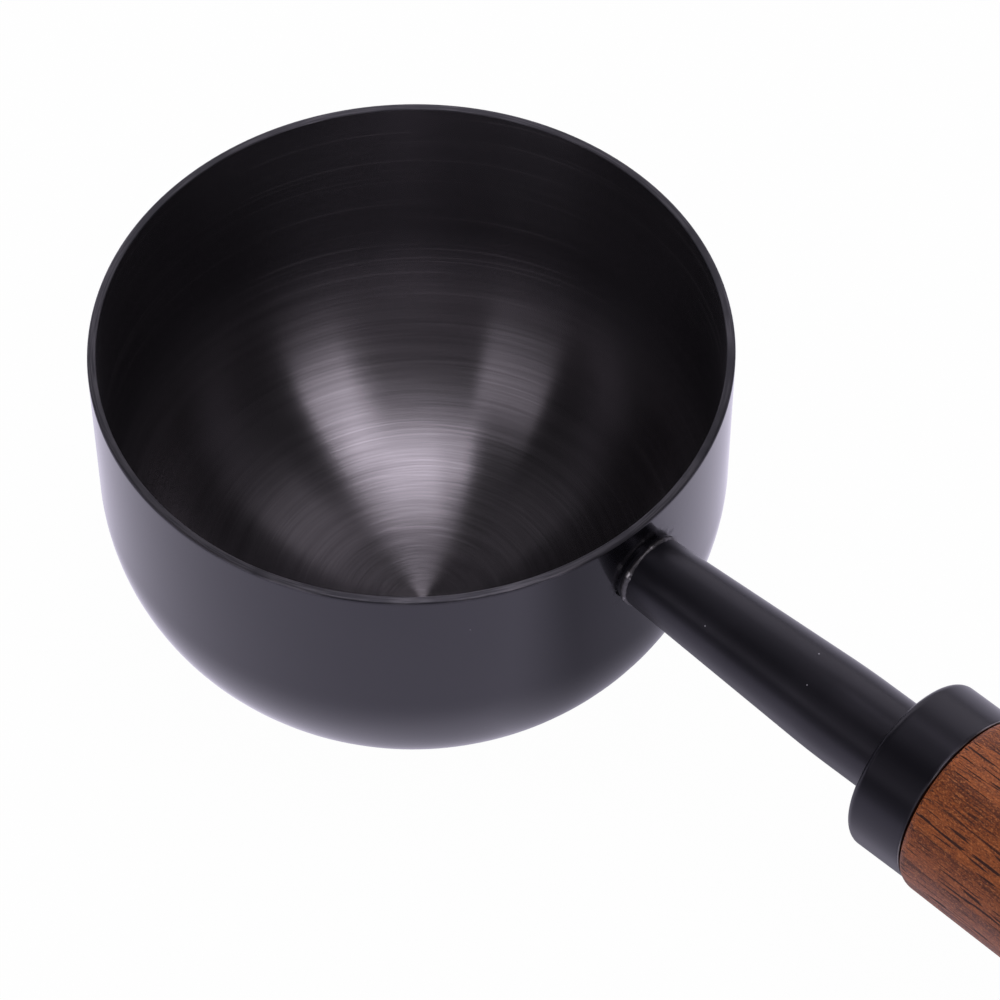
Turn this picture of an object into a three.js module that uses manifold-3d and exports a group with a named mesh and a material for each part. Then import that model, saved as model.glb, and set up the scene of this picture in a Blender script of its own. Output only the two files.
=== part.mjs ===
// A coffee scoop: a deep steel bowl, a tapered steel neck welded to its wall, and a turned wooden
// grip that a hidden stud pulls against a steel collar.
// Millimetres. +Z runs up the bowl's axis, +X runs out along the handle, and the origin is the middle
// of the bowl's flat base.
import * as THREE from 'three';
import { mergeVertices } from 'three/addons/utils/BufferGeometryUtils.js';
import Module from 'manifold-3d';

// Bowl: a drawn cup with a straight, slightly drafted wall above a rounded bottom
const bowlDiameter = 52;
const bowlHeight = 32.6;
const straightWall = 13.5;
const wallDraft = 0.4;
const bowlSheet = 0.7;
const baseFlatDiameter = 10.4;
const rimBreak = 0.12;

// Neck: a tube drawn down to a cone, with a level stretch where it meets the collar
const neckDrop = 6;
const neckLength = 28.2;
const neckRootDiameter = 6.1;
const neckEndDiameter = 8;
const neckWall = 0.8;
const neckLevel = 7.5;
const taperBlend = 4;

// Weld bead round the neck's root
const weldLeg = 0.6;
const weldToe = 0.15;

// Collar: a cup that holds the end of the neck on one side and the grip's tenon on the other
const collarDiameter = 15;
const collarLength = 5.4;
const collarFrontWall = 2.2;
const collarSkirt = 1.2;
const collarRounding = 1;
const collarBackBreak = 0.2;
const socketDepth = 0.8;

// Grip: turned wood, flush with the collar, swelling to a belly and ending in a rounded butt
const gripLength = 84;
const gripBellyDiameter = 16.6;
const gripBellyAt = 48;
const gripButtDiameter = 14.6;
const gripButtRounding = 5;

// Fastening inside the handle
const studDiameter = 4;
const studChamfer = 0.5;
const insertDiameter = 6.4;
const insertLength = 12;
const insertFlangeDiameter = 8.6;
const insertFlange = 0.8;
const gripBoreExtra = 2;

// Clearances
const weldGap = 0.3;
const slipFit = 0.1;
const threadFit = 0.1;
const studClearance = 0.25;
const plugRecess = 0.3;
const jointLine = 0.15;
const cutAllowance = 1;

// Facets of the round pieces, and points on each curved stretch of an outline
const bowlSides = 64;
const handleSides = 36;
const bottomCurvePoints = 6;
const handleCurvePoints = 4;

// Places along the handle, measured from the bowl's axis
const wallLean = wallDraft / straightWall;
const wallAt = bowlDiameter / 2 - wallLean * neckDrop;
const collarFrontAt = wallAt + neckLength;
const neckEndAt = collarFrontAt + socketDepth;
const collarFloorAt = collarFrontAt + collarFrontWall;
const collarBackAt = collarFrontAt + collarLength;
const shoulderAt = collarBackAt + jointLine;
const buttAt = collarBackAt + gripLength;
const taperEndAt = collarFrontAt - neckLevel;
const rootStartAt = wallAt - cutAllowance;
const plugStartAt = taperEndAt + taperBlend / 2 + slipFit;
const plugEndAt = neckEndAt - plugRecess;
const insertEndAt = collarFloorAt + insertLength;

const steelBlack = { color: 0x1b1b1f, roughness: 0.38, metalness: 0.9 };
const satinBlack = { color: 0x18181a, roughness: 0.5, metalness: 0.7 };
const bareSteel = { color: 0xa8a8ac, roughness: 0.35, metalness: 1 };
const brass = { color: 0xb8924a, roughness: 0.35, metalness: 1 };
const wood = { color: 0x7a4226, roughness: 0.55, metalness: 0 };

const wasm = await Module();
wasm.setup();

function toSolid(geometry) {
  const bare = geometry.clone();
  bare.deleteAttribute('normal');
  bare.deleteAttribute('uv');
  const merged = mergeVertices(bare);
  const vertProperties = new Float32Array(merged.attributes.position.array);
  const triVerts = new Uint32Array(merged.index.array);
  return new wasm.Manifold(new wasm.Mesh({ numProp: 3, vertProperties, triVerts }));
}

function toGeometry(solid) {
  const mesh = solid.getMesh();
  const geometry = new THREE.BufferGeometry();
  geometry.setAttribute('position', new THREE.BufferAttribute(mesh.vertProperties, 3));
  geometry.setIndex(new THREE.BufferAttribute(mesh.triVerts, 1));
  geometry.computeVertexNormals();
  return geometry;
}

function cut(geometry, cutter) {
  return toGeometry(toSolid(geometry).subtract(toSolid(cutter)));
}

function piece(name, geometry, finish) {
  const mesh = new THREE.Mesh(geometry, new THREE.MeshStandardMaterial(finish));
  mesh.name = name;
  return mesh;
}

// A turned piece about the local Y axis. The outline holds (radius, height) points and runs so that the
// material lies on its left.
function turned(outline, sides, curvePoints) {
  return new THREE.LatheGeometry(outline.getPoints(curvePoints), sides);
}

// A straight-sided ring between two radii and two heights
function ring(innerRadius, outerRadius, low, high) {
  const outline = new THREE.Path();
  outline.moveTo(innerRadius, low);
  outline.lineTo(outerRadius, low);
  outline.lineTo(outerRadius, high);
  outline.lineTo(innerRadius, high);
  outline.lineTo(innerRadius, low);
  return turned(outline, handleSides, handleCurvePoints);
}

function bowlShape() {
  const outer = bowlDiameter / 2;
  const inner = outer - bowlSheet;
  const flat = baseFlatDiameter / 2;
  const bend = bowlHeight - straightWall;
  const outline = new THREE.Path();
  outline.moveTo(0, 0);
  outline.lineTo(flat, 0);
  outline.absellipse(flat, bend, outer - wallDraft - flat, bend, -Math.PI / 2, 0, false, 0);
  outline.lineTo(outer, bowlHeight - rimBreak);
  outline.lineTo(outer - rimBreak, bowlHeight);
  outline.lineTo(inner + rimBreak, bowlHeight);
  outline.lineTo(inner, bowlHeight - rimBreak);
  outline.lineTo(inner - wallDraft, bend);
  outline.absellipse(flat, bend, inner - wallDraft - flat, bend - bowlSheet, 0, -Math.PI / 2, true, 0);
  outline.lineTo(0, bowlSheet);
  return turned(outline, bowlSides, bottomCurvePoints);
}

// The bowl's outer wall where the neck meets it, grown by the weld gap, lies across the handle's axis
function wallCutter() {
  const reach = neckEndDiameter;
  const high = wallAt + wallLean * reach + weldGap;
  const low = wallAt - wallLean * reach + weldGap;
  return new THREE.CylinderGeometry(high, low, reach * 2, bowlSides).rotateX(Math.PI / 2);
}

const neckSlope = (neckEndDiameter - neckRootDiameter) / 2 / (taperEndAt - wallAt);

function neckRadiusAt(along) {
  return neckRootDiameter / 2 + neckSlope * (along - wallAt);
}

function neckShape() {
  const blendFrom = taperEndAt - taperBlend / 2;
  const blendTo = taperEndAt + taperBlend / 2;
  const end = neckEndDiameter / 2;
  const bore = end - neckWall;
  const outline = new THREE.Path();
  outline.moveTo(neckRadiusAt(rootStartAt), rootStartAt);
  outline.lineTo(neckRadiusAt(blendFrom), blendFrom);
  outline.quadraticCurveTo(end, taperEndAt, end, blendTo);
  outline.lineTo(end, neckEndAt);
  outline.lineTo(bore, neckEndAt);
  outline.lineTo(bore, blendTo);
  outline.quadraticCurveTo(bore, taperEndAt, neckRadiusAt(blendFrom) - neckWall, blendFrom);
  outline.lineTo(neckRadiusAt(rootStartAt) - neckWall, rootStartAt);
  outline.lineTo(neckRadiusAt(rootStartAt), rootStartAt);
  return cut(turned(outline, handleSides, handleCurvePoints), wallCutter());
}

function weldShape() {
  const crest = wallAt + weldGap + weldToe + weldLeg;
  const toe = wallAt + weldGap + weldToe;
  const outer = neckRadiusAt(toe) + slipFit + weldLeg;
  const outline = new THREE.Path();
  outline.moveTo(neckRadiusAt(rootStartAt) + slipFit, rootStartAt);
  outline.lineTo(outer, rootStartAt);
  outline.lineTo(outer, toe);
  outline.quadraticCurveTo(outer, crest, neckRadiusAt(crest) + slipFit, crest);
  outline.lineTo(neckRadiusAt(rootStartAt) + slipFit, rootStartAt);
  return cut(turned(outline, handleSides, handleCurvePoints), wallCutter());
}

function plugShape() {
  const outer = neckEndDiameter / 2 - neckWall - slipFit;
  return ring(studDiameter / 2 + threadFit, outer, plugStartAt, plugEndAt);
}

function studShape() {
  const radius = studDiameter / 2;
  const studEndAt = insertEndAt - studChamfer;
  const outline = new THREE.Path();
  outline.moveTo(0, plugStartAt);
  outline.lineTo(radius - studChamfer, plugStartAt);
  outline.lineTo(radius, plugStartAt + studChamfer);
  outline.lineTo(radius, studEndAt - studChamfer);
  outline.lineTo(radius - studChamfer, studEndAt);
  outline.lineTo(0, studEndAt);
  return turned(outline, handleSides, handleCurvePoints);
}

function collarShape() {
  const outer = collarDiameter / 2;
  const hole = studDiameter / 2 + studClearance;
  const socket = neckEndDiameter / 2 + slipFit;
  const cup = outer - collarSkirt;
  const outline = new THREE.Path();
  outline.moveTo(hole, neckEndAt);
  outline.lineTo(socket, neckEndAt);
  outline.lineTo(socket, collarFrontAt);
  outline.lineTo(outer - collarRounding, collarFrontAt);
  outline.absarc(outer - collarRounding, collarFrontAt + collarRounding, collarRounding, -Math.PI / 2, 0, false);
  outline.lineTo(outer, collarBackAt - collarBackBreak);
  outline.lineTo(outer - collarBackBreak, collarBackAt);
  outline.lineTo(cup, collarBackAt);
  outline.lineTo(cup, collarFloorAt);
  outline.lineTo(hole, collarFloorAt);
  outline.lineTo(hole, neckEndAt);
  return turned(outline, handleSides, handleCurvePoints);
}

function insertShape() {
  const bore = studDiameter / 2 + threadFit;
  const flangeEnd = collarFloorAt + insertFlange;
  const outline = new THREE.Path();
  outline.moveTo(bore, collarFloorAt);
  outline.lineTo(insertFlangeDiameter / 2, collarFloorAt);
  outline.lineTo(insertFlangeDiameter / 2, flangeEnd);
  outline.lineTo(insertDiameter / 2, flangeEnd);
  outline.lineTo(insertDiameter / 2, insertEndAt);
  outline.lineTo(bore, insertEndAt);
  outline.lineTo(bore, collarFloorAt);
  return turned(outline, handleSides, handleCurvePoints);
}

// The tenon bottoms on the collar's floor, which leaves the fine dark joint line at the shoulder
function gripShape() {
  const front = collarDiameter / 2;
  const belly = gripBellyDiameter / 2;
  const butt = gripButtDiameter / 2;
  const tenon = front - collarSkirt - slipFit;
  const bore = insertDiameter / 2 + slipFit;
  const counterbore = insertFlangeDiameter / 2 + slipFit;
  const flangeSeat = collarFloorAt + insertFlange;
  const boreEnd = insertEndAt + gripBoreExtra;
  const bellyAt = collarBackAt + gripBellyAt;
  const roundFrom = buttAt - gripButtRounding;
  const outline = new THREE.Path();
  outline.moveTo(0, boreEnd);
  outline.lineTo(bore, boreEnd);
  outline.lineTo(bore, flangeSeat);
  outline.lineTo(counterbore, flangeSeat);
  outline.lineTo(counterbore, collarFloorAt);
  outline.lineTo(tenon, collarFloorAt);
  outline.lineTo(tenon, shoulderAt);
  outline.lineTo(front, shoulderAt);
  outline.quadraticCurveTo(belly, (shoulderAt + bellyAt) / 2, belly, bellyAt);
  outline.quadraticCurveTo(belly, (bellyAt + roundFrom) / 2, butt, roundFrom);
  outline.absellipse(butt - gripButtRounding, roundFrom, gripButtRounding, gripButtRounding, 0, Math.PI / 2, false, 0);
  outline.lineTo(0, buttAt);
  return turned(outline, handleSides, handleCurvePoints);
}

const bowl = piece('bowl', bowlShape(), steelBlack);
bowl.rotation.x = Math.PI / 2;

// The handle's own axis is turned to run out along +X, square to the wall and below the rim
const handle = new THREE.Group();
handle.position.z = bowlHeight - neckDrop;
handle.rotation.z = -Math.PI / 2;
handle.add(
  piece('neck_weld', weldShape(), bareSteel),
  piece('neck', neckShape(), satinBlack),
  piece('neck_plug', plugShape(), bareSteel),
  piece('stud', studShape(), bareSteel),
  piece('collar', collarShape(), satinBlack),
  piece('grip_insert', insertShape(), brass),
  piece('grip', gripShape(), wood),
);

const scoop = new THREE.Group();
scoop.add(bowl, handle);

export default scoop;
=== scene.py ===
# %% [markdown]
# # A coffee scoop
# A deep black steel bowl, a tapered neck that is welded to its wall, a steel collar and a turned wooden
# grip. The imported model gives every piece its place, so the script starts by loading it as a fixed frame.
# Each piece is then modelled again with a finer surface, right where the frame has it, and given its real
# finish.

# %% Load the frame
import math

import bpy
from mathutils import Matrix, Quaternion, Vector


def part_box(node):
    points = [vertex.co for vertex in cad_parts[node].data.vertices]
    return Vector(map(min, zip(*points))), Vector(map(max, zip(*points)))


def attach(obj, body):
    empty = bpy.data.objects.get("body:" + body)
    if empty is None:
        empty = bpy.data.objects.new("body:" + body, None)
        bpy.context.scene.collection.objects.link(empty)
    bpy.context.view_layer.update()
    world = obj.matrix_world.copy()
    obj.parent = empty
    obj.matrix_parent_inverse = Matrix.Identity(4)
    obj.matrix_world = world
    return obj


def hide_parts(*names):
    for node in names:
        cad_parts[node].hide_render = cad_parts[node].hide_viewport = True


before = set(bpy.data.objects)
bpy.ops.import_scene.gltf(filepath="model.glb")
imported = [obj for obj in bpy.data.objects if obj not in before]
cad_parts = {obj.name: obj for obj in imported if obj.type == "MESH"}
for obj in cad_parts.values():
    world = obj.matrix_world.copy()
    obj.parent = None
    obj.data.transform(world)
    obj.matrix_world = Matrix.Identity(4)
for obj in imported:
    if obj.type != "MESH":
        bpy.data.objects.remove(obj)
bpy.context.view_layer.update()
MM = 0.001
print("frame nodes:", ", ".join(sorted(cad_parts)))

# %% [markdown]
# ## Camera
# The photograph looks down into the bowl from the handle's side, through a long lens that hardly tapers
# anything. A camera could be placed by hand in the viewport. Here it is worked out from the point it
# looks at, the way it looks from and its distance, which are the numbers that a photographer would note
# down.

# %% Place the camera
AIM = Vector((15.96, -6.43, 32.6)) * MM
VIEW_AZIMUTH = math.radians(44.161)
VIEW_ELEVATION = math.radians(51.444)
VIEW_DISTANCE = 681.6 * MM
VIEW_ROLL = math.radians(-0.673)
LENS_MM = 310.6
CLIP_START = 10 * MM

toward_camera = Vector((
    math.sin(VIEW_AZIMUTH) * math.cos(VIEW_ELEVATION),
    -math.cos(VIEW_AZIMUTH) * math.cos(VIEW_ELEVATION),
    math.sin(VIEW_ELEVATION),
))
camera_data = bpy.data.cameras.new("photo_camera")
camera_data.lens = LENS_MM
camera_data.clip_start = CLIP_START
camera = bpy.data.objects.new("photo_camera", camera_data)
bpy.context.scene.collection.objects.link(camera)
camera.location = AIM + toward_camera * VIEW_DISTANCE
camera.rotation_mode = "QUATERNION"
level_look = (-toward_camera).to_track_quat("-Z", "Y")
camera.rotation_quaternion = level_look @ Quaternion((0, 0, 1), VIEW_ROLL)
bpy.context.scene.camera = camera
print("camera at", tuple(round(c, 4) for c in camera.location))

# %% [markdown]
# ## Outlines
# A turner works from a drawing of half the section: straight stretches, arcs and easy curves. Here such
# an outline is a list of points in millimetres. Its straight stretches need only their two ends, and the
# two helpers below fill in the round ones. A curve object could hold them too, but a formula keeps their
# sizes.

# %% Draw round stretches
def arc(centre, radii, start, end, steps):
    """Points on an ellipse from one angle to another, in degrees, without the first one."""
    angles = [math.radians(start + (end - start) * i / steps) for i in range(1, steps + 1)]
    return [(centre[0] + radii[0] * math.cos(a), centre[1] + radii[1] * math.sin(a)) for a in angles]


def curve(start, control, end, steps):
    """Points on a quadratic curve, without the first one."""
    points = []
    for i in range(1, steps + 1):
        t = i / steps
        near, middle, far = (1 - t) ** 2, 2 * t * (1 - t), t * t
        points.append(tuple(near * a + middle * b + far * c for a, b, c in zip(start, control, end)))
    return points


# %% [markdown]
# ## A lathe
# Almost every piece of this scoop is round about one of two axes: the bowl about its own upright axis,
# and the handle's pieces about an axis that runs out along +X below the rim. So one helper does what a
# lathe does. It starts from a small plane, merges it to a single vertex, extrudes that vertex along the
# outline and spins the outline round. Merging the doubles closes the seam and the poles, and only then
# are the normals turned outwards. A Screw modifier would spin it as well, but edit mode leaves a plain
# mesh whose faces can be sorted.

# %% Turn an outline into a piece
SEED_SIZE = 1 * MM
MERGE_DISTANCE = 0.001 * MM
SHARP_ANGLE = math.radians(28)
BOWL_STEPS = 192
HANDLE_STEPS = 128

NECK_LOW, NECK_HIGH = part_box("neck")
AXIS_HEIGHT = (NECK_LOW.z + NECK_HIGH.z) / 2


def turned(name, points, centre, axis, steps):
    """Spin a line of points round an axis, and leave the piece shaded smooth with its sharp edges kept."""
    bpy.ops.object.select_all(action="DESELECT")
    bpy.ops.mesh.primitive_plane_add(size=SEED_SIZE, location=points[0])
    piece = bpy.context.object
    piece.name = piece.data.name = name
    bpy.ops.object.transform_apply(location=True, rotation=True, scale=True)
    bpy.ops.object.mode_set(mode="EDIT")
    bpy.ops.mesh.select_all(action="SELECT")
    bpy.ops.mesh.merge(type="CENTER")
    for here, there in zip(points, points[1:]):
        bpy.ops.mesh.extrude_region_move(TRANSFORM_OT_translate={"value": there - here})
    bpy.ops.mesh.select_all(action="SELECT")
    bpy.ops.mesh.spin(steps=steps, angle=math.tau, center=centre, axis=axis)
    bpy.ops.mesh.select_all(action="SELECT")
    bpy.ops.mesh.remove_doubles(threshold=MERGE_DISTANCE)
    bpy.ops.mesh.normals_make_consistent(inside=False)
    bpy.ops.object.mode_set(mode="OBJECT")
    bpy.ops.object.shade_smooth_by_angle(angle=SHARP_ANGLE)
    print(name, "has", len(piece.data.polygons), "faces")
    return piece


def turned_upright(name, outline):
    """A piece about the bowl's axis, from (radius, height) pairs in millimetres."""
    points = [Vector((r, 0, h)) * MM for r, h in outline]
    return turned(name, points, (0, 0, 0), (0, 0, 1), BOWL_STEPS)


def turned_along(name, outline, steps=HANDLE_STEPS):
    """A piece about the handle's axis, from (distance along, radius) pairs in millimetres."""
    points = [Vector((a * MM, 0, AXIS_HEIGHT + r * MM)) for a, r in outline]
    return turned(name, points, (0, 0, AXIS_HEIGHT), (1, 0, 0), steps)


# %% [markdown]
# ## Putting a piece in its place
# Nothing on a scoop moves, so every piece rides on the one rigid body. A new piece takes over from its
# node of the frame.

# %% Let a piece stand for its node
def place(piece, node, slot, *finishes):
    """Give a piece its finishes, in the order of its material slots, and let it stand for its node."""
    for finish in finishes:
        piece.data.materials.append(finish)
    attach(piece, "root")
    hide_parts(node)


# %% [markdown]
# ## Sums with shader nodes
# A finish is a small calculation: take the place on the surface, stretch it, look up a noise, weigh it,
# add it to something else. Drawn by hand that is dozens of Math nodes. The class below wraps one output
# socket so that Python's own operators add the Math nodes.

# %% Wrap a socket
class Wire:
    """One output socket of a finish, which Python's operators can calculate with."""

    def __init__(self, finish, socket):
        self.finish = finish
        self.socket = socket

    def math(self, operation, *values):
        return self.finish.node("Math", {"operation": operation}, dict(enumerate(values)))

    def __add__(self, other):
        return self.math("ADD", self, other)

    def __sub__(self, other):
        return self.math("SUBTRACT", self, other)

    def __rsub__(self, other):
        return self.math("SUBTRACT", other, self)

    def __mul__(self, other):
        return self.math("MULTIPLY", self, other)

    def __truediv__(self, other):
        return self.math("DIVIDE", self, other)

    def __pow__(self, other):
        return self.math("POWER", self, other)

    def __abs__(self):
        return self.math("ABSOLUTE", self)

    __radd__ = __add__
    __rmul__ = __mul__

    def fraction(self):
        """What is left of a number past its whole part."""
        return self.math("FRACT", self)

    def larger(self, other):
        """The larger of two numbers."""
        return self.math("MAXIMUM", self, other)

    def between(self, low, high):
        """0 below low, 1 above high and a soft step from one to the other."""
        settings = {"interpolation_type": "SMOOTHSTEP"}
        return self.finish.node("MapRange", settings, {"Value": self, "From Min": low, "From Max": high})


def distance(a, b):
    """How far a place lies from where both of its numbers are zero."""
    return (a * a + b * b) ** 0.5


# %% [markdown]
# A finish starts as a new material with its Principled shader and a Texture Coordinate node. One method
# makes any other node from its type, its settings and what goes into its sockets, and the rest are short
# names for the nodes that the finishes below use again and again.

# %% Start a finish
SPECK_CORE = 0.6
CHANCE_STEP = 0.01


def opaque(colour):
    return colour if isinstance(colour, Wire) else (*colour, 1.0)


class Finish:
    """A procedural material in the making."""

    def __init__(self, name):
        self.material = bpy.data.materials.new(name)
        self.material.use_nodes = True
        self.tree = self.material.node_tree
        self.shader = self.tree.nodes["Principled BSDF"]
        coordinates = self.tree.nodes.new("ShaderNodeTexCoord")
        self.here = Wire(self, coordinates.outputs["Object"])

    def node(self, kind, settings, sockets, output=0):
        """Add one node: its settings first, then a value or a link for each named or numbered socket."""
        made = self.tree.nodes.new("ShaderNode" + kind)
        for key, value in settings.items():
            setattr(made, key, value)
        for key, value in sockets.items():
            self.feed(made.inputs[key], value)
        return Wire(self, made.outputs[output])

    def feed(self, socket, value):
        if isinstance(value, Wire):
            self.tree.links.new(value.socket, socket)
        else:
            socket.default_value = value

    def set(self, **sockets):
        """Feed the shader's own sockets: Base_Color=..., Roughness=... and so on."""
        for key, value in sockets.items():
            self.feed(self.shader.inputs[key.replace("_", " ")], value)

    def apart(self, vector):
        """A vector's three numbers."""
        return [self.node("SeparateXYZ", {}, {"Vector": vector}, axis) for axis in "XYZ"]

    def vector(self, x, y, z):
        return self.node("CombineXYZ", {}, {"X": x, "Y": y, "Z": z})

    def noise(self, vector, detail):
        return self.node("TexNoise", {}, {"Vector": vector, "Scale": 1.0, "Detail": detail})

    def stretched(self, per_metre, detail):
        """Noise in the piece's own block, with its own fineness along each axis."""
        place_in_block = {0: self.here, 1: per_metre}
        return self.noise(self.node("VectorMath", {"operation": "MULTIPLY"}, place_in_block), detail)

    def even(self, per_metre, detail):
        """Noise that is equally fine along each axis."""
        return self.stretched((per_metre, per_metre, per_metre), detail)

    def mix(self, factor, first, second):
        """One colour turning into another."""
        colours = {"Factor": factor, 6: opaque(first), 7: opaque(second)}
        return self.node("Mix", {"data_type": "RGBA"}, colours, 2)

    def bump(self, height, depth, strength=1.0):
        """Relief of a real depth in metres."""
        return self.node("Bump", {}, {"Height": height, "Distance": depth, "Strength": strength})

    def specks(self, spacing, size, share):
        """Round specks of one size, on a share of points that lie about a spacing apart."""
        sockets = {"Vector": self.here, "Scale": 1 / spacing}
        away = self.node("TexVoronoi", {"feature": "F1"}, sockets, "Distance")
        colour = Wire(self, away.socket.node.outputs["Color"])
        chance = self.apart(colour)[0]
        edge = size / spacing
        near = 1 - away.between(SPECK_CORE * edge, edge)
        return near * chance.between(1 - share, 1 - share + CHANCE_STEP)


# %% [markdown]
# ## Bowl
# The bowl is drawn from one sheet of steel: a flat spot under its middle, a bottom that rounds up like a
# dome and a straight wall that leans out a little. The rim is cut flat, and its outer edge is broken. A
# sphere could be cut in half and thickened, but the flat, the round and the wall then have no sizes of
# their own, so the outline of the sheet's section is drawn and spun. A loop of points close to the rim
# keeps its shading from running down the wall.

# %% Model the bowl
SHEET = 0.7
BASE_FLAT = 5.2
STRAIGHT_WALL = 13.5
WALL_DRAFT = 0.4
RIM_OUTER_BREAK = 0.2
RIM_INNER_BREAK = 0.06
EDGE_LOOP = 0.2
BOTTOM_ARC_STEPS = 30
RIM_ARC_STEPS = 4

_, BOWL_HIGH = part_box("bowl")
rim_radius = BOWL_HIGH.x / MM
bowl_height = BOWL_HIGH.z / MM
bend_height = bowl_height - STRAIGHT_WALL


def bowl_outline():
    inner = rim_radius - SHEET
    outside = (rim_radius - WALL_DRAFT - BASE_FLAT, bend_height)
    inside = (inner - WALL_DRAFT - BASE_FLAT, bend_height - SHEET)
    round_centre = (BASE_FLAT, bend_height)
    half_wall = bowl_height - STRAIGHT_WALL / 2
    rim_edge = bowl_height - RIM_OUTER_BREAK
    outline = [(0, 0), (BASE_FLAT / 2, 0), (BASE_FLAT, 0)]
    outline += arc(round_centre, outside, -90, 0, BOTTOM_ARC_STEPS)
    outline.append((rim_radius - WALL_DRAFT / 2, half_wall))
    outline.append((rim_radius - WALL_DRAFT * EDGE_LOOP / STRAIGHT_WALL, rim_edge - EDGE_LOOP))
    outline.append((rim_radius, rim_edge))
    break_centre = (rim_radius - RIM_OUTER_BREAK, rim_edge)
    outline += arc(break_centre, (RIM_OUTER_BREAK, RIM_OUTER_BREAK), 0, 90, RIM_ARC_STEPS)
    outline.append((inner + RIM_INNER_BREAK, bowl_height))
    outline.append((inner, bowl_height - RIM_INNER_BREAK))
    outline.append((inner - WALL_DRAFT / 2, half_wall))
    outline.append((inner - WALL_DRAFT, bend_height))
    outline += arc(round_centre, inside, 0, -90, BOTTOM_ARC_STEPS)
    return outline + [(BASE_FLAT / 2, SHEET), (0, SHEET)]


bowl = turned_upright("bowl_shell", bowl_outline())

# %% [markdown]
# The sheet has one black coat, but its two sides catch the light in different ways. The outside is satin.
# The inside was brushed in circles before it was coated, and the rim shows its turned edge. Three pieces
# could carry three finishes, but it is one sheet, so its faces go to three material slots instead: a face
# whose normal looks at a point on the axis is inside, and the highest ones are the rim.

# %% Sort the bowl's faces
OUTSIDE, INSIDE, RIM = 0, 1, 2
middle = Vector((0, 0, bend_height)) * MM
for face in bowl.data.polygons:
    if face.center.z > (bowl_height - RIM_OUTER_BREAK) * MM:
        face.material_index = RIM
    elif face.normal.dot(middle - face.center) > 0:
        face.material_index = INSIDE
    else:
        face.material_index = OUTSIDE
print("inside faces:", sum(face.material_index == INSIDE for face in bowl.data.polygons))

# %% [markdown]
# ### Satin black outside
# A baked black coat is a dark base under a clear skin, so it is a plain dielectric: nearly black, and
# lighter only where it mirrors the table at a low angle. Up close it has a fine orange peel, cloudy
# handling marks that change the gloss and a few specks of dust. Next to the neck the heat of welding has
# left dull blotches. A picture could be laid over the piece, but noise has no seams and stays sharp from
# any distance.

# %% Finish the outside
COAT_BLACK = (0.0045, 0.0043, 0.0060)
COAT_WORN = (0.0070, 0.0067, 0.0088)
COAT_TINT = (0.9, 0.88, 1.0, 1.0)
MARKS_PER_METRE = 90
MARKS_DULL = 0.04
PEEL_PER_METRE = 3200
DUST = (0.50, 0.50, 0.53)
DUST_SPACING = 1.5 * MM
DUST_SIZE = 0.09 * MM
DUST_DULL = 0.5
SCORCH_PER_METRE = 1100
SCORCH_FADES = (3.2 * MM, 5.0 * MM)
SCORCH_SIDE = (22 * MM, 24 * MM)


def scorched(f):
    """Blotches round the neck's axis, on the neck's side of the bowl."""
    x, y, z = f.apart(f.here)
    near_neck = 1 - distance(y, z - AXIS_HEIGHT).between(*SCORCH_FADES)
    blotches = f.even(SCORCH_PER_METRE, detail=3).between(0.42, 0.62)
    return blotches * near_neck * x.between(*SCORCH_SIDE)


def satin_black(name, roughness, gloss, dust_share, peel, black=COAT_BLACK, heat=0.0):
    """A baked satin coat with its peel, handling marks and dust. A plain clear skin has a gloss of 0.5."""
    f = Finish(name)
    marks = f.even(MARKS_PER_METRE, detail=4).between(0.35, 0.7)
    dust = f.specks(DUST_SPACING, DUST_SIZE, dust_share)
    dullness = roughness + MARKS_DULL * (marks - 0.5) + DUST_DULL * dust
    if heat:
        dullness = dullness + heat * scorched(f)
    f.set(
        Base_Color=f.mix(dust, f.mix(marks, black, COAT_WORN), DUST),
        Roughness=dullness,
        Normal=f.bump(f.even(PEEL_PER_METRE, detail=2), peel),
        Specular_IOR_Level=gloss,
        Specular_Tint=COAT_TINT,
    )
    return f.material


outside_finish = satin_black(
    "satin_black_outside",
    roughness=0.10,
    gloss=0.45,
    dust_share=0.06,
    peel=0.15e-6,
    heat=0.25,
)
print("outside of the bowl:", outside_finish.name)

# %% [markdown]
# ### Brushed inside
# Circular brushing leaves thousands of fine grooves round the bowl. Each is smooth along its length and
# rough across, so a lamp above draws out into a fan that meets at the middle of the bottom. Blender's
# anisotropy does that: its own tangent runs round the piece, and a quarter turn lays the spread across
# the grooves. In the photograph the fan's tip lies a little off the bowl's axis, as if the brush had been
# held there, so the mesh's texture space, which the tangent turns about, is moved to it. The grooves that
# the eye can pick out are noise that is fine up the sheet and long round it, with a few light and dark
# lines. The wall above has a painted shade: it is coloured darker and less metallic than the bottom.

# %% Finish the inside
BRUSHED_DARK = (0.165, 0.155, 0.163)
BRUSHED_LIGHT = (0.275, 0.259, 0.270)
# painted shade: the darker colour of the inside wall above the brushed bottom
WALL_PAINTED_SHADE = (0.065, 0.062, 0.071)
WALL_ZONE = (22 * MM, 25.2 * MM)
BRUSH_CENTRE = Vector((1.20, -0.51, 0)) * MM
BRUSH_SPREAD = 0.97
QUARTER_TURN = 0.25
GROOVE_DEPTH = 0.6e-6
NOISE_SWING = (0.3, 0.7)
NOISE_PEAKS = (0.66, 0.73)


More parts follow.
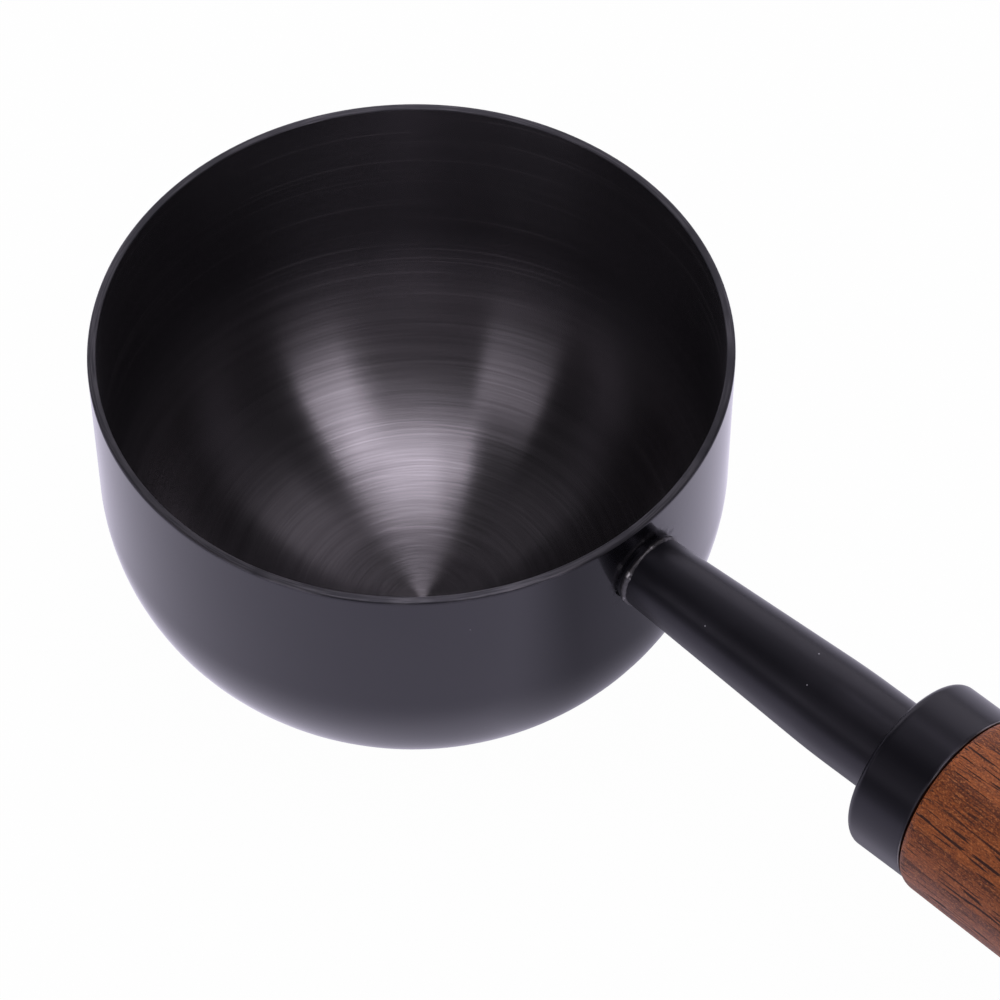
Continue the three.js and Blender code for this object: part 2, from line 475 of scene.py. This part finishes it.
def brushed_black():
    f = Finish("brushed_black_inside")
    x, y, z = f.apart(f.here)
    on_wall = distance(x, y).between(*WALL_ZONE)
    x = x - BRUSH_CENTRE.x
    y = y - BRUSH_CENTRE.y
    radius = distance(x, y)
    up_sheet = radius + z

    def grooves(per_metre, turns, detail, shift=0):
        across = up_sheet * per_metre + shift
        return f.noise(f.vector(across, x / radius * turns, y / radius * turns), detail)

    fine = grooves(6500, turns=1.6, detail=1)
    broad = grooves(900, turns=1.2, detail=2)
    light_line = grooves(3400, turns=1.1, detail=0, shift=40).between(*NOISE_PEAKS)
    dark_line = grooves(3000, turns=1.1, detail=0, shift=80).between(*NOISE_PEAKS)
    tone = 0.4 * fine.between(*NOISE_SWING) + 0.25 * broad.between(*NOISE_SWING) + 0.175
    brushed = f.mix(tone + 0.35 * light_line - 0.2 * dark_line, BRUSHED_DARK, BRUSHED_LIGHT)
    # towards the rim the wall gets a painted shade, darker and less metallic
    f.set(
        Base_Color=f.mix((0.8 - 0.25 * light_line) * on_wall, brushed, WALL_PAINTED_SHADE),
        Metallic=0.96 - 0.2 * on_wall,
        Roughness=0.24 + 0.03 * tone,
        Normal=f.bump(fine, GROOVE_DEPTH),
        Anisotropic=BRUSH_SPREAD,
        Anisotropic_Rotation=QUARTER_TURN,
    )
    return f.material


inside_finish = brushed_black()
bowl.data.use_auto_texspace = False
bowl.data.texspace_location = BRUSH_CENTRE
print("inside of the bowl:", inside_finish.name)

# %% [markdown]
# ### Rim
# The cut edge is the first place that a spoon, a bag or a jar rubs. The coat there is thinner and greyer,
# and the turned lines under it come through as bare metal. They run round the rim as the grooves run
# round the inside, so the same anisotropy draws them out. The same finish puts a painted highlight on
# the collar's back edge: light grey patches there, not metal.

# %% Finish the rim
EDGE_COAT = (0.016, 0.016, 0.018)
RIM_WORN = (0.105, 0.102, 0.110)
PATCHES_PER_METRE = 160
LINES_PER_METRE = 9000
LINE_BREAKS_PER_METRE = 300
LINE_DEPTH = 1.5e-6


def edge_wear_and_highlight(name, wear_and_highlight, share, metal=0.0, turned_lines=0.0):
    """A coated edge that turns to a second colour on about a share of its length: worn metal on the rim, a
    painted highlight on the collar.
    """
    f = Finish(name)
    x, y = f.apart(f.here)[:2]
    across = distance(x, y) * LINES_PER_METRE
    lines = f.noise(f.vector(across, x * LINE_BREAKS_PER_METRE, y * LINE_BREAKS_PER_METRE), detail=2)
    # on the rim these patches are worn metal, on the collar a painted highlight
    patches_from = 0.62 - 0.4 * share
    rubbed_and_lit = f.even(PATCHES_PER_METRE, detail=4).between(patches_from, patches_from + 0.2)
    bare_and_highlit = rubbed_and_lit * lines.between(0.3, 0.65)
    f.set(
        Base_Color=f.mix(bare_and_highlit, EDGE_COAT, wear_and_highlight),
        Metallic=metal * bare_and_highlit if metal else 0.0,
        Roughness=0.3 + 0.1 * lines,
        Normal=f.bump(lines, LINE_DEPTH),
        Specular_Tint=COAT_TINT,
        Anisotropic=turned_lines,
        Anisotropic_Rotation=QUARTER_TURN,
    )
    return f.material


rim_finish = edge_wear_and_highlight("worn_rim", RIM_WORN, share=0.7, metal=0.9, turned_lines=0.9)
place(bowl, "bowl", "bowl_black", outside_finish, inside_finish, rim_finish)
print("rim of the bowl:", rim_finish.name)

# %% [markdown]
# ## Neck
# The neck is a steel tube that was drawn down to a cone towards the bowl and left level for its last
# stretch. Its root goes into the wall's thickness, where the weld hides the joint, and its open end sits
# in the collar. A cone primitive has no bend and no bore, so the tube is turned from one closed outline.

# %% Model the neck
NECK_ROOT_RADIUS = 3.05
NECK_WALL = 0.8
NECK_SINK = 0.42
NECK_ROOT_LOOP = 2.0
NECK_LEVEL = 7.5
TAPER_BLEND = 2.0
BLEND_STEPS = 10

COLLAR_LOW, COLLAR_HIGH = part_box("collar")
collar_front = COLLAR_LOW.x / MM
neck_end = NECK_HIGH.x / MM
neck_radius = (NECK_HIGH.z - NECK_LOW.z) / 2 / MM
axis_drop = bowl_height - AXIS_HEIGHT / MM
wall_at = rim_radius - WALL_DRAFT / STRAIGHT_WALL * axis_drop
taper_end = collar_front - NECK_LEVEL


def cone_radius(along):
    slope = (neck_radius - NECK_ROOT_RADIUS) / (taper_end - wall_at)
    return NECK_ROOT_RADIUS + slope * (along - wall_at)


def neck_outline():
    root = wall_at - NECK_SINK
    root_loop = wall_at + NECK_ROOT_LOOP
    blend_from = taper_end - TAPER_BLEND
    blend_to = taper_end + TAPER_BLEND
    bore = neck_radius - NECK_WALL
    outline = [(along, cone_radius(along)) for along in (root, root_loop, blend_from)]
    outline += curve(outline[-1], (taper_end, neck_radius), (blend_to, neck_radius), BLEND_STEPS)
    outline += [(neck_end, neck_radius), (neck_end, bore), (blend_to, bore)]
    narrow = (blend_from, cone_radius(blend_from) - NECK_WALL)
    outline += curve(outline[-1], (taper_end, bore), narrow, BLEND_STEPS)
    return outline + [(root, cone_radius(root) - NECK_WALL), outline[0]]


neck = turned_along("neck_tube", neck_outline())

# %% [markdown]
# The neck has the same coat as the bowl's outside, but fingers hold it, so it is duller and greyer, and
# dust sticks to it.

# %% Finish the neck
NECK_BLACK = (0.0165, 0.0158, 0.0193)
HANDLE_ROUGHNESS = 0.30
HANDLE_GLOSS = 0.38

neck_finish = satin_black(
    "satin_black_neck",
    HANDLE_ROUGHNESS,
    HANDLE_GLOSS,
    dust_share=0.25,
    peel=0.4e-6,
    black=NECK_BLACK,
)
place(neck, "neck", "satin_black", neck_finish)
print("neck:", neck_finish.name)

# %% [markdown]
# ## Weld
# A low bead of metal runs round the neck's root. A torus is the natural start, drawn out along the neck
# because the bead is longer than it is high. The bowl's wall curves away on both sides of the neck, so
# the ring is bent back to follow it, and its hand-made swell and ripple come from a few waves round the
# ring. Each wave is given by how often it goes round, its size as a share of the bead and where it
# starts.

# %% Model the weld
WELD_RISE = 0.17
WELD_REACH = 0.27
WELD_OFF_WALL = 0.55
WELD_RING_STEPS = 160
WELD_BEAD_STEPS = 16
RIPPLES = ((2, 0.2, -1.4), (5, 0.12, 0.4), (13, 0.09, 1.9), (29, 0.07, 0.7))


def wall_setback(across):
    """How far the bowl's round wall lies behind its nearest point, at a distance to the side."""
    wall = wall_at * MM
    return math.sqrt(wall * wall - across * across) - wall


def weld_bead():
    ring_at = (wall_at + WELD_OFF_WALL) * MM
    ring_radius = cone_radius(wall_at) * MM
    bpy.ops.object.select_all(action="DESELECT")
    bpy.ops.mesh.primitive_torus_add(
        location=(ring_at, 0, AXIS_HEIGHT),
        rotation=(0, math.pi / 2, 0),
        major_radius=ring_radius,
        minor_radius=WELD_RISE * MM,
        major_segments=WELD_RING_STEPS,
        minor_segments=WELD_BEAD_STEPS,
    )
    bead = bpy.context.object
    bead.name = bead.data.name = "weld_bead"
    bead.scale.z = WELD_REACH / WELD_RISE
    bpy.ops.object.transform_apply(location=True, rotation=True, scale=True)
    for vertex in bead.data.vertices:
        across = vertex.co.y
        turn = math.atan2(across, vertex.co.z - AXIS_HEIGHT)
        swell = sum(size * math.sin(count * turn + shift) for count, size, shift in RIPPLES)
        spoke = Vector((0, math.sin(turn), math.cos(turn))) * ring_radius
        ring = Vector((ring_at, 0, AXIS_HEIGHT)) + spoke
        vertex.co = ring + (vertex.co - ring) * (1 + swell)
        vertex.co.x += wall_setback(across)
    bpy.ops.object.shade_smooth()
    return bead


weld = weld_bead()
weld_top = max(vertex.co.x for vertex in weld.data.vertices) / MM
print("weld bead reaches", round(weld_top - wall_at, 2), "mm out from the wall")

# %% [markdown]
# The coat covers the bead's root. Further out on the neck's side the metal is bare: dull grey where the
# heat stained it, with small light spots that are painted glints, and grainy all over. The line between
# coat and metal is ragged, so the grains shift it. Painting it by hand would do as well, but here it
# follows the wall by itself.

# %% Finish the weld
# painted glint: the light colour of a few small spots on the bare metal
WELD_PAINTED_GLINT = (0.52, 0.51, 0.50)
WELD_DULL = (0.105, 0.101, 0.104)
WELD_COATED = (0.010, 0.010, 0.012)
GRAINS_PER_METRE = 3400
GRAIN_DEPTH = 25e-6
GLINTS_PER_METRE = 900
BARE_FROM = (0.32 * MM, 0.42 * MM)
BARE_RAGGED = 0.2 * MM


def weld_metal():
    f = Finish("weld_metal")
    x, y = f.apart(f.here)[:2]
    wall = wall_at * MM
    off_wall = x - (wall * wall - y * y) ** 0.5
    grains = f.even(GRAINS_PER_METRE, detail=3)
    # painted glints: a few small spots on the bare metal
    painted_glints = f.even(GLINTS_PER_METRE, detail=3).between(0.62, 0.72)
    bare_and_highlit = (off_wall + BARE_RAGGED * (grains - 0.5)).between(*BARE_FROM)
    f.set(
        Base_Color=f.mix(bare_and_highlit, WELD_COATED, f.mix(painted_glints, WELD_DULL, WELD_PAINTED_GLINT)),
        Metallic=bare_and_highlit,
        Roughness=0.45 - 0.15 * painted_glints * bare_and_highlit + 0.1 * grains,
        Normal=f.bump(grains, GRAIN_DEPTH),
    )
    return f.material


place(weld, "neck_weld", "weld_steel", weld_metal())
print("weld:", weld.data.materials[0].name)

# %% [markdown]
# ## Collar
# The collar is a small turned cup. Its front holds the end of the neck and its back takes the grip's
# tenon. The front edge has a full round and starts a hair ahead of the frame's solid, as in the
# photograph. The back edge is broken just enough to catch a thin line of light, and those faces also
# get a painted highlight.

# %% Model the collar
COLLAR_AHEAD = 0.2
COLLAR_ROUND = 0.72
COLLAR_BACK_BREAK = 0.08
COLLAR_FRONT_WALL = 2.2
COLLAR_SKIRT = 1.2
STUD_HOLE = 2.25
SLIP_FIT = 0.1
COLLAR_ROUND_STEPS = 12
COLLAR_BREAK_STEPS = 3

collar_back = COLLAR_HIGH.x / MM
collar_radius = (COLLAR_HIGH.z - COLLAR_LOW.z) / 2 / MM
collar_floor = collar_front + COLLAR_FRONT_WALL
back_break = collar_back - COLLAR_BACK_BREAK


def collar_outline():
    socket = neck_radius + SLIP_FIT
    cup = collar_radius - COLLAR_SKIRT
    mouth = collar_front - COLLAR_AHEAD
    front = (mouth + COLLAR_ROUND, collar_radius - COLLAR_ROUND)
    back = (back_break, collar_radius - COLLAR_BACK_BREAK)
    outline = [(neck_end, STUD_HOLE), (neck_end, socket), (mouth, socket), (mouth, front[1])]
    outline += arc(front, (COLLAR_ROUND, COLLAR_ROUND), 180, 90, COLLAR_ROUND_STEPS)
    outline += [(front[0] + EDGE_LOOP, collar_radius), (back_break - EDGE_LOOP, collar_radius)]
    outline.append((back_break, collar_radius))
    outline += arc(back, (COLLAR_BACK_BREAK, COLLAR_BACK_BREAK), 90, 0, COLLAR_BREAK_STEPS)
    outline += [(collar_back, cup), (collar_floor, cup), (collar_floor, STUD_HOLE)]
    return outline + [outline[0]]


collar = turned_along("collar_cup", collar_outline())

# %% [markdown]
# The coat on the collar is the neck's, only blacker. The broken edge is found by its place, and by its
# normals, which lean away from the flat face behind it.

# %% Finish the collar
COLLAR_BLACK = (0.0060, 0.0057, 0.0078)
# painted highlight: the light grey of the collar's broken back edge
COLLAR_PAINTED_HIGHLIGHT = (0.42, 0.41, 0.42)
COLLAR_EDGE = 1
FLAT_BACK = 0.99

for face in collar.data.polygons:
    if face.center.x > back_break * MM and face.normal.x < FLAT_BACK:
        face.material_index = COLLAR_EDGE
collar_finish = satin_black(
    "satin_black_collar",
    HANDLE_ROUGHNESS,
    HANDLE_GLOSS,
    dust_share=0.15,
    peel=0.5e-6,
    black=COLLAR_BLACK,
)
# the broken back edge gets a painted highlight in light grey patches
collar_edge = edge_wear_and_highlight("painted_highlight_collar_edge", COLLAR_PAINTED_HIGHLIGHT, share=0.6)
place(collar, "collar", "satin_black", collar_finish, collar_edge)
print("collar:", collar_finish.name, "and", collar_edge.name)

# %% [markdown]
# ## Grip
# The grip is turned from hardwood. It swells to a belly for the palm and ends in a rounded butt. A tenon
# goes into the collar's cup and a bore takes the threaded insert, so the outline includes both. At the
# joint the wood stands a hair proud of the steel. Its edge is eased by hand, and the shallow groove in
# front of it shows as a fine dark line. A cylinder could be scaled ring by ring, but on a lathe the joint
# comes out in one go.

# %% Model the grip
GRIP_BELLY_AT = 48.0
GRIP_PROUD = 0.33
GRIP_EASE = (0.9, 0.38)
BUTT_RADIUS = 7.3
BUTT_ROUND = 5.0
JOINT_LINE = 0.2
JOINT_DEPTH = 0.4
JOINT_CLEARANCE = 0.03
INSERT_RADIUS = 3.2
INSERT_FLANGE = 0.8
BORE_EXTRA = 2.0
EASE_STEPS = 10
SWELL_STEPS = 24
BUTT_STEPS = 16
GRIP_STEPS = 144

GRIP_LOW, GRIP_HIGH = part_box("grip")
INSERT_LOW, INSERT_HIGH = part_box("grip_insert")
belly_radius = (GRIP_HIGH.z - GRIP_LOW.z) / 2 / MM
butt_at = GRIP_HIGH.x / MM
flange_radius = (INSERT_HIGH.z - INSERT_LOW.z) / 2 / MM
shoulder = collar_back + JOINT_LINE


def grip_inside():
    """From the end of the bore, over the insert's seat and the tenon, to the bottom of the groove."""
    tenon = collar_radius - COLLAR_SKIRT - SLIP_FIT
    bore = INSERT_RADIUS + SLIP_FIT
    counterbore = flange_radius + SLIP_FIT
    bore_end = INSERT_HIGH.x / MM + BORE_EXTRA
    flange_seat = collar_floor + INSERT_FLANGE
    groove = collar_radius - JOINT_DEPTH
    groove_from = collar_back + JOINT_CLEARANCE
    outline = [(bore_end, 0), (bore_end, bore), (flange_seat, bore), (flange_seat, counterbore)]
    outline += [(collar_floor, counterbore), (collar_floor, tenon)]
    return outline + [(groove_from, tenon), (groove_from, groove), (shoulder, groove)]


def grip_outside():
    """From the eased edge, over the belly, to the end of the butt."""
    belly_at = collar_back + GRIP_BELLY_AT
    round_from = butt_at - BUTT_ROUND
    eased = (shoulder + GRIP_EASE[0], collar_radius + GRIP_PROUD - GRIP_EASE[1])
    swell = (shoulder + belly_at) / 2
    fall = (belly_at + round_from) / 2
    outline = [(shoulder, eased[1])]
    outline += arc(eased, GRIP_EASE, 180, 90, EASE_STEPS)
    outline += curve(outline[-1], (swell, belly_radius), (belly_at, belly_radius), SWELL_STEPS)
    outline += curve(outline[-1], (fall, belly_radius), (round_from, BUTT_RADIUS), SWELL_STEPS)
    butt_centre = (round_from, BUTT_RADIUS - BUTT_ROUND)
    outline += arc(butt_centre, (BUTT_ROUND, BUTT_ROUND), 90, 0, BUTT_STEPS)
    return outline + [(butt_at, 0)]


grip = turned_along("grip_handle", grip_inside() + grip_outside(), GRIP_STEPS)

# %% [markdown]
# ### Wood
# The wood is a reddish brown hardwood with open pores. On the grip they show as thin dark lines along the
# grain, over a grainy mottle of orange and brown with light specks that are painted glints, and slow
# bands from the growth rings round a pith that lies well below the grip. All of them are noise in the
# block that the grip was turned from, stretched along the handle, so the pattern runs through the solid
# as in wood and needs no unwrapping.

# %% Finish the wood
WOOD_LIGHT = (0.50, 0.138, 0.032)
WOOD_DARK = (0.125, 0.030, 0.010)
# painted glint: the colour of the small light specks in the wood
WOOD_PAINTED_GLINT = (0.74, 0.27, 0.080)
WOOD_PORE = (0.022, 0.007, 0.005)
WOOD_GLOSS = 0.36
WOOD_RELIEF = 30e-6
PITH = (11 * MM, -24 * MM)
RING_SPACING = 2.6 * MM
RING_SWAY = 2.2
SWAY_PER_METRE = (22, 90, 90)
FIBRE_PER_METRE = (700, 8000, 8000)
MOTTLE_PER_METRE = (5000, 9500, 9500)
VESSEL_PER_METRE = (300, 5200, 5200)
GLINT_PER_METRE = (4200, 7500, 7500)


def oiled_wood():
    f = Finish("oiled_wood")
    y, z = f.apart(f.here)[1:]
    sway = f.stretched(SWAY_PER_METRE, detail=2)
    rings = distance(y - PITH[0], z - PITH[1]) / RING_SPACING + RING_SWAY * sway
    late_wood = rings.fraction().between(0.35, 1.0)
    fibre = f.stretched(FIBRE_PER_METRE, detail=3)
    mottle = f.stretched(MOTTLE_PER_METRE, detail=2)
    pore = f.stretched(VESSEL_PER_METRE, detail=0).between(0.62, 0.67) * (1 - 0.5 * late_wood)
    # painted glints: small light specks over the mottle
    glint = f.stretched(GLINT_PER_METRE, detail=1).between(0.56, 0.70)
    tone = 0.30 * late_wood + 1.3 * (fibre - 0.5) + 1.4 * (mottle - 0.5) + 0.40
    wood = f.mix(tone.between(0.0, 1.0), WOOD_LIGHT, WOOD_DARK)
    f.set(
        Base_Color=f.mix(0.92 * pore, f.mix(0.5 * glint, wood, WOOD_PAINTED_GLINT), WOOD_PORE),
        Roughness=0.40 + 0.12 * mottle + 0.2 * pore,
        Normal=f.bump(0.4 * fibre + 0.6 * mottle - pore, WOOD_RELIEF, strength=0.8),
        Specular_IOR_Level=WOOD_GLOSS,
    )
    return f.material


place(grip, "grip", "grip_wood", oiled_wood())
print("grip:", grip.data.materials[0].name)

# %% [markdown]
# ## Fastening
# A tapped plug in the neck, a stud and a threaded insert in the grip hold the handle together. They never
# show, and the frame's own solids have their sizes, so they stay and only get a turned metal finish: fine
# lines round the handle's axis.

# %% Finish the hidden metal
STEEL = (0.56, 0.56, 0.58)
BRASS = (0.74, 0.55, 0.27)
TOOL_MARKS_PER_METRE = 5000
TOOL_MARK_BREAKS_PER_METRE = 150
TOOL_MARK_DEPTH = 4e-6
TOOL_MARK_DULL = 0.75


def turned_metal(name, colour):
    f = Finish(name)
    x, y, z = f.apart(f.here)
    breaks = TOOL_MARK_BREAKS_PER_METRE
    lines = f.noise(f.vector(x * TOOL_MARKS_PER_METRE, y * breaks, z * breaks), detail=3)
    dull = tuple(TOOL_MARK_DULL * c for c in colour)
    f.set(
        Base_Color=f.mix(lines, dull, colour),
        Metallic=1.0,
        Roughness=0.25 + 0.2 * lines,
        Normal=f.bump(lines, TOOL_MARK_DEPTH),
    )
    return f.material


bare_steel = turned_metal("turned_steel", STEEL)
insert_brass = turned_metal("turned_brass", BRASS)
for node, finish in (("neck_plug", bare_steel), ("stud", bare_steel), ("grip_insert", insert_brass)):
    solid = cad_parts[node]
    solid.data.materials.clear()
    solid.data.materials.append(finish)
    print(node, "keeps its solid and gets", finish.name)

# %% [markdown]
# ## Floor
# The scoop stands on a white table that runs out of sight. A plane would end in a horizon in low views,
# so the floor is a wide disc whose edge is drawn up into a low wall far away.

# %% Make the floor
FLOOR_RADIUS = 20.0
FLOOR_WALL = 2.0
FLOOR_STEPS = 96

bpy.ops.object.select_all(action="DESELECT")
bpy.ops.mesh.primitive_circle_add(
    vertices=FLOOR_STEPS,
    radius=FLOOR_RADIUS,
    fill_type="NGON",
    location=(0, 0, 0),
)
floor = bpy.context.object
floor.name = floor.data.name = "floor"
bpy.ops.object.mode_set(mode="EDIT")
bpy.ops.mesh.select_mode(type="EDGE")
bpy.ops.mesh.select_all(action="SELECT")
bpy.ops.mesh.region_to_loop()
bpy.ops.mesh.extrude_region_move(TRANSFORM_OT_translate={"value": (0, 0, FLOOR_WALL)})
bpy.ops.mesh.select_mode(type="VERT")
bpy.ops.object.mode_set(mode="OBJECT")
print("floor wall rises", FLOOR_WALL, "m at", FLOOR_RADIUS, "m")

# %% [markdown]
# The floor glows for the camera and for mirror reflections, with enough plain diffuse left in it for the
# scoop's soft shadow. To the camera the glow is plain white. A glowing floor can't be shaded, and yet the
# shade on a real table is what a black piece mirrors most. So the glow that only reflections see is
# painted: a little lavender from the cool light, dimmer under the handle and by the bowl's base, and dark
# far out on the side that the photograph was taken from, as if the table ended there. The paint lies on
# the floor and stays there in every view.

# %% Finish the floor
FLOOR_GREY = (0.9, 0.9, 0.9, 1.0)
FLOOR_GLOW = 0.985
SEEN_WHITE = (1.0, 1.0, 1.0)
MIRRORED_WHITE = (0.92, 0.87, 1.06)
MIRRORED_SHADE = (0.40, 0.38, 0.47)
HANDLE_SHADE_AT = 4 * MM
HANDLE_SHADE_FADES = (5 * MM, 20 * MM)
HANDLE_SHADE_STARTS = (5 * MM, 20 * MM)
BASE_SHADE_AT = (12 * MM, -8 * MM)
BASE_SHADE_FADES = (6 * MM, 17 * MM)
BASE_SHADE = 0.6
FAR_DARK = (0.03, 0.03, 0.035)
FAR_SHADE_STARTS = (0.10, 0.36)
FRONT_STARTS = (-0.05, 0.05)
FAR_SHADE = 0.75


def mirrored_table(f):
    """The colour of the table as the black pieces mirror it."""
    x, y = f.apart(f.here)[:2]
    beside = abs(y - HANDLE_SHADE_AT)
    by_handle = (1 - beside.between(*HANDLE_SHADE_FADES)) * x.between(*HANDLE_SHADE_STARTS)
    from_base = distance(x - BASE_SHADE_AT[0], y - BASE_SHADE_AT[1])
    by_base = BASE_SHADE - BASE_SHADE * from_base.between(*BASE_SHADE_FADES)
    in_front = x * math.sin(VIEW_AZIMUTH) - y * math.cos(VIEW_AZIMUTH)
    far_off = FAR_SHADE * distance(x, y).between(*FAR_SHADE_STARTS) * in_front.between(*FRONT_STARTS)
    near = f.mix(by_handle.larger(by_base), MIRRORED_WHITE, MIRRORED_SHADE)
    return f.mix(far_off, near, FAR_DARK)


def white_floor():
    f = Finish("white_floor")
    f.set(Base_Color=FLOOR_GREY, Roughness=1.0, Specular_IOR_Level=0.0)
    camera_ray, glossy_ray, clear_ray = (
        f.node("LightPath", {}, {}, output=ray)
        for ray in ("Is Camera Ray", "Is Glossy Ray", "Is Transmission Ray")
    )
    shown = (camera_ray + glossy_ray + clear_ray).between(0, 1)
    colour = f.mix(glossy_ray, SEEN_WHITE, mirrored_table(f))
    glow = f.node("Emission", {}, {"Color": colour, "Strength": 1.0})
    plain = Wire(f, f.shader.outputs[0])
    both = f.node("MixShader", {}, {0: FLOOR_GLOW * shown, 1: plain, 2: glow})
    f.tree.links.new(both.socket, f.tree.nodes["Material Output"].inputs["Surface"])
    return f.material


floor.data.materials.append(white_floor())
print("floor:", floor.data.materials[0].name)

# %% [markdown]
# ## Light
# The highlights in the photograph tell of a soft lamp overhead, two softer ones on either side of the
# camera and white screens behind and beside the scoop. The place of the camera itself stays dark. Each
# lamp is a flat panel that faces the bowl from a metre away. A lamp could be dragged about in the
# viewport, but what counts is where it shows in the metal. So its place is given as the photographer
# would point at it, by how far it lies to the right and to the back of straight up, and its brightness as
# a share of paper white.

# %% Hang the lamps
LAMP_TARGET = Vector((0, 0, 20)) * MM
LAMP_DISTANCE = 1.0
LAMP_COLOUR = (1.0, 0.945, 1.06)

right = Vector((math.cos(VIEW_AZIMUTH), math.sin(VIEW_AZIMUTH), 0))
back = Vector((-math.sin(VIEW_AZIMUTH), math.cos(VIEW_AZIMUTH), 0))
up = Vector((0, 0, 1))


def panel(name, to_right, to_back, width, depth, brightness, roll=0):
    """A panel whose width runs across the view before it is rolled, in degrees, about its own middle."""
    height = math.sqrt(1 - to_right ** 2 - to_back ** 2)
    way = right * to_right + back * to_back + up * height
    level = (right - way * right.dot(way)).normalized()
    facing = Matrix((level, way.cross(level), way)).transposed().to_quaternion()
    lamp_data = bpy.data.lights.new(name, "AREA")
    lamp_data.shape = "RECTANGLE"
    lamp_data.size = width
    lamp_data.size_y = depth
    lamp_data.color = LAMP_COLOUR
    lamp_data.energy = brightness * math.pi * width * depth
    lamp = bpy.data.objects.new(name, lamp_data)
    bpy.context.scene.collection.objects.link(lamp)
    lamp.location = LAMP_TARGET + way * LAMP_DISTANCE
    lamp.rotation_mode = "QUATERNION"
    lamp.rotation_quaternion = facing @ Quaternion((0, 0, 1), math.radians(roll))
    lamp.visible_camera = False
    print(name, "hangs", round(lamp.location.z, 2), "m up")


panel("lamp_overhead", 0.04, -0.115, 0.63, 0.29, brightness=3.5, roll=-8)
panel("lamp_overhead_back", 0.01, 0.165, 0.23, 0.56, brightness=1.7)
panel("lamp_front_right", 0.42, -0.48, 0.34, 0.54, brightness=1.85, roll=33)
panel("lamp_front_left", -0.60, -0.64, 0.43, 0.80, brightness=1.1, roll=-13)
panel("screen_back", 0.0, 0.842, 1.60, 0.67, brightness=1.1)
panel("screen_left", -0.89, -0.11, 0.20, 0.60, brightness=0.77)
panel("screen_right", 0.32, 0.37, 0.65, 0.30, brightness=0.36, roll=-24)
panel("screen_back_left", -0.32, 0.37, 0.65, 0.30, brightness=0.1, roll=24)

# %% [markdown]
# The room around the table is nearly dark, so the world only lifts the deepest shade a little. The
# Standard view shows a colour as it is written.

# %% Darken the room
WORLD_COLOUR = (0.03, 0.03, 0.033, 1.0)

world = bpy.data.worlds.new("studio")
world.use_nodes = True
world.node_tree.nodes["Background"].inputs["Color"].default_value = WORLD_COLOUR
bpy.context.scene.world = world
bpy.context.scene.view_settings.view_transform = "Standard"
print("view transform:", bpy.context.scene.view_settings.view_transform)
